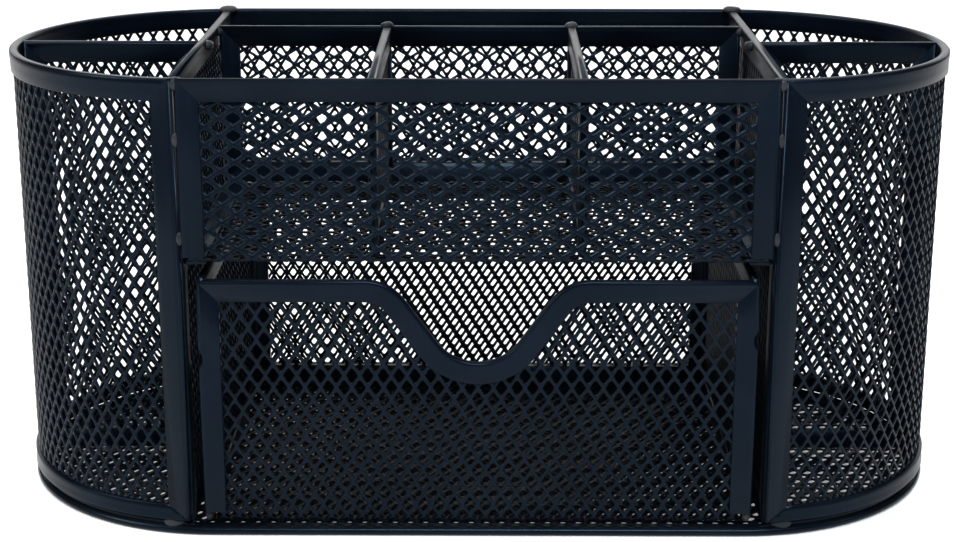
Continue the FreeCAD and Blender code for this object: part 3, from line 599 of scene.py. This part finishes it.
turned(drawer_strips, 90, "X", (0, drawer_plane, drawer_high.z))
drawer_hem = add_piece("drawer_front_hem", drawer_strips, channel_paint)
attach(drawer_hem, "drawer")
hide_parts("drawer_front_frame")

floor_plane = cloth_low.z + SHEET_THICKNESS
bag = folded_cloth(2 * cloth_high.x - shear_loss, cloth_high.z - floor_plane,
                   cloth_high.y - drawer_plane - shear_loss, 0.002, cloth_high.z, drawer_plane,
                   strand=0.00068, lean=0.00034)

# The front is sheared to the scoop's curve.  A row of points bent like the strip gives that curve.
grip = 0.0009
ruler = bmesh.new()
bmesh.ops.create_grid(ruler, x_segments=240, y_segments=1, size=0.5)
bmesh.ops.delete(ruler, geom=[v for v in ruler.verts if v.co.y > 0], context="VERTS")
for vert in ruler.verts:
    vert.co = ((vert.co.x + 0.5) * lip_length, -grip, 0.0)
bend_along(ruler, lip_runs)
lip_line = sorted(((v.co.x - drawer_half, v.co.y + drawer_high.z) for v in ruler.verts))
ruler.free()


def height_under_lip(x):
    """Height of the sheet's cut edge at x, a little inside the strip's fold."""
    nearest = min(range(len(lip_line)), key=lambda i: abs(lip_line[i][0] - x))
    return lip_line[nearest][1]


scoop_foot = 0.035
beyond = []
for face in bag.faces:
    if any(v.co.z > scoop_foot and v.co.y < drawer_plane + 0.001 and v.co.z > height_under_lip(v.co.x)
           for v in face.verts):
        beyond.append(face)
bmesh.ops.delete(bag, geom=beyond, context="FACES")
drawer_sheet = add_piece("drawer_sheet", bag, mesh_paint, SHEET_THICKNESS)
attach(drawer_sheet, "drawer")
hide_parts("drawer_mesh")

for hand in ("left", "right"):
    framed_panel(f"drawer_side_{hand}", "drawer", shift=(0.3, 0.1))
framed_panel("drawer_back", "drawer", shift=(0.15, 0.35))

low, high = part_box("drawer_welds")
lump_x, lump_y, lump_z = high.x - channel / 2, drawer_plane + 0.0005, (low.z + high.z) / 2
lump_size = (channel, channel, high.z - low.z + 0.0012)
drawer_lumps = [weld_lump(Vector((side * lump_x, lump_y, lump_z)), lump_size, side) for side in (-1, 1)]
add_welds("drawer_weld_lumps", "drawer_welds", "drawer", drawer_lumps)

# ---------------------------------------------------------------- studio
# A white table under soft boxes above, behind, left, right and in front, with a long lens a little above
# the rim.  None of it is part of the organizer.
table = bmesh.new()
bmesh.ops.create_grid(table, x_segments=1, y_segments=1, size=6.0)
white = bpy.data.materials.new("table_white")
white.use_nodes = True
table_shader = white.node_tree.nodes["Principled BSDF"]
table_shader.inputs["Base Color"].default_value = (0.86, 0.86, 0.86, 1.0)
table_shader.inputs["Roughness"].default_value = 0.9
table_shader.inputs["Specular IOR Level"].default_value = 0.1
table_shader.inputs["Emission Color"].default_value = (1.0, 1.0, 1.0, 1.0)
table_shader.inputs["Emission Strength"].default_value = 0.3
table_piece = add_piece("table", table, white)

lens = bpy.data.cameras.new("camera")
lens.sensor_width = 36.0
lens.lens = 72.09
lens.clip_start = 0.01
camera = bpy.data.objects.new("camera", lens)
bpy.context.scene.collection.objects.link(camera)
dip, swing, tilt = math.radians(16.459), math.radians(-0.320), math.radians(0.034)
ahead = Vector((math.sin(swing) * math.cos(dip), math.cos(swing) * math.cos(dip), -math.sin(dip)))
level = Vector((math.cos(swing), -math.sin(swing), 0.0))
above = level.cross(ahead)
right = math.cos(tilt) * level + math.sin(tilt) * above
upward = math.cos(tilt) * above - math.sin(tilt) * level
stand = Matrix.Translation((0.00205, -0.44903, 0.18097))
camera.matrix_world = stand @ Matrix((right, upward, -ahead)).transposed().to_4x4()
bpy.context.scene.camera = camera


def soft_box(name, place, aim, size, power, colour):
    """Rectangular light that faces a point."""
    light = bpy.data.lights.new(name, "AREA")
    light.shape = "RECTANGLE"
    light.size, light.size_y = size
    light.energy = power
    light.color = colour
    lamp = bpy.data.objects.new(name, light)
    lamp.location = place
    lamp.rotation_euler = (Vector(aim) - Vector(place)).to_track_quat("-Z", "Y").to_euler()
    bpy.context.scene.collection.objects.link(lamp)


soft_box("top_box", (0.0, 0.35, 1.0), (0, 0.1, 0.0), (1.2, 0.9), 10.0, (1.0, 1.0, 1.0))
soft_box("back_box", (0.0, 1.5, 0.5), (0, 0, 0.1), (2.4, 0.6), 9.0, (1.0, 1.0, 1.0))
soft_box("left_box", (-0.8, -0.35, 0.6), (0, 0, 0.05), (0.4, 0.4), 6.0, (1.0, 0.96, 0.9))
soft_box("right_box", (0.9, -0.3, 0.5), (0, 0, 0.05), (0.3, 0.3), 0.6, (1.0, 1.0, 1.0))
soft_box("front_box", (0.1, -0.7, 0.8), (0, 0, 0.1), (0.5, 0.12), 10.0, (0.86, 0.94, 1.0))

world = bpy.data.worlds.new("studio")
world.use_nodes = True
world.node_tree.nodes["Background"].inputs["Color"].default_value = (0.9, 0.93, 1.0, 1.0)
world.node_tree.nodes["Background"].inputs["Strength"].default_value = 0.035
bpy.context.scene.world = world
bpy.context.scene.view_settings.view_transform = "Standard"

bpy.context.view_layer.update()
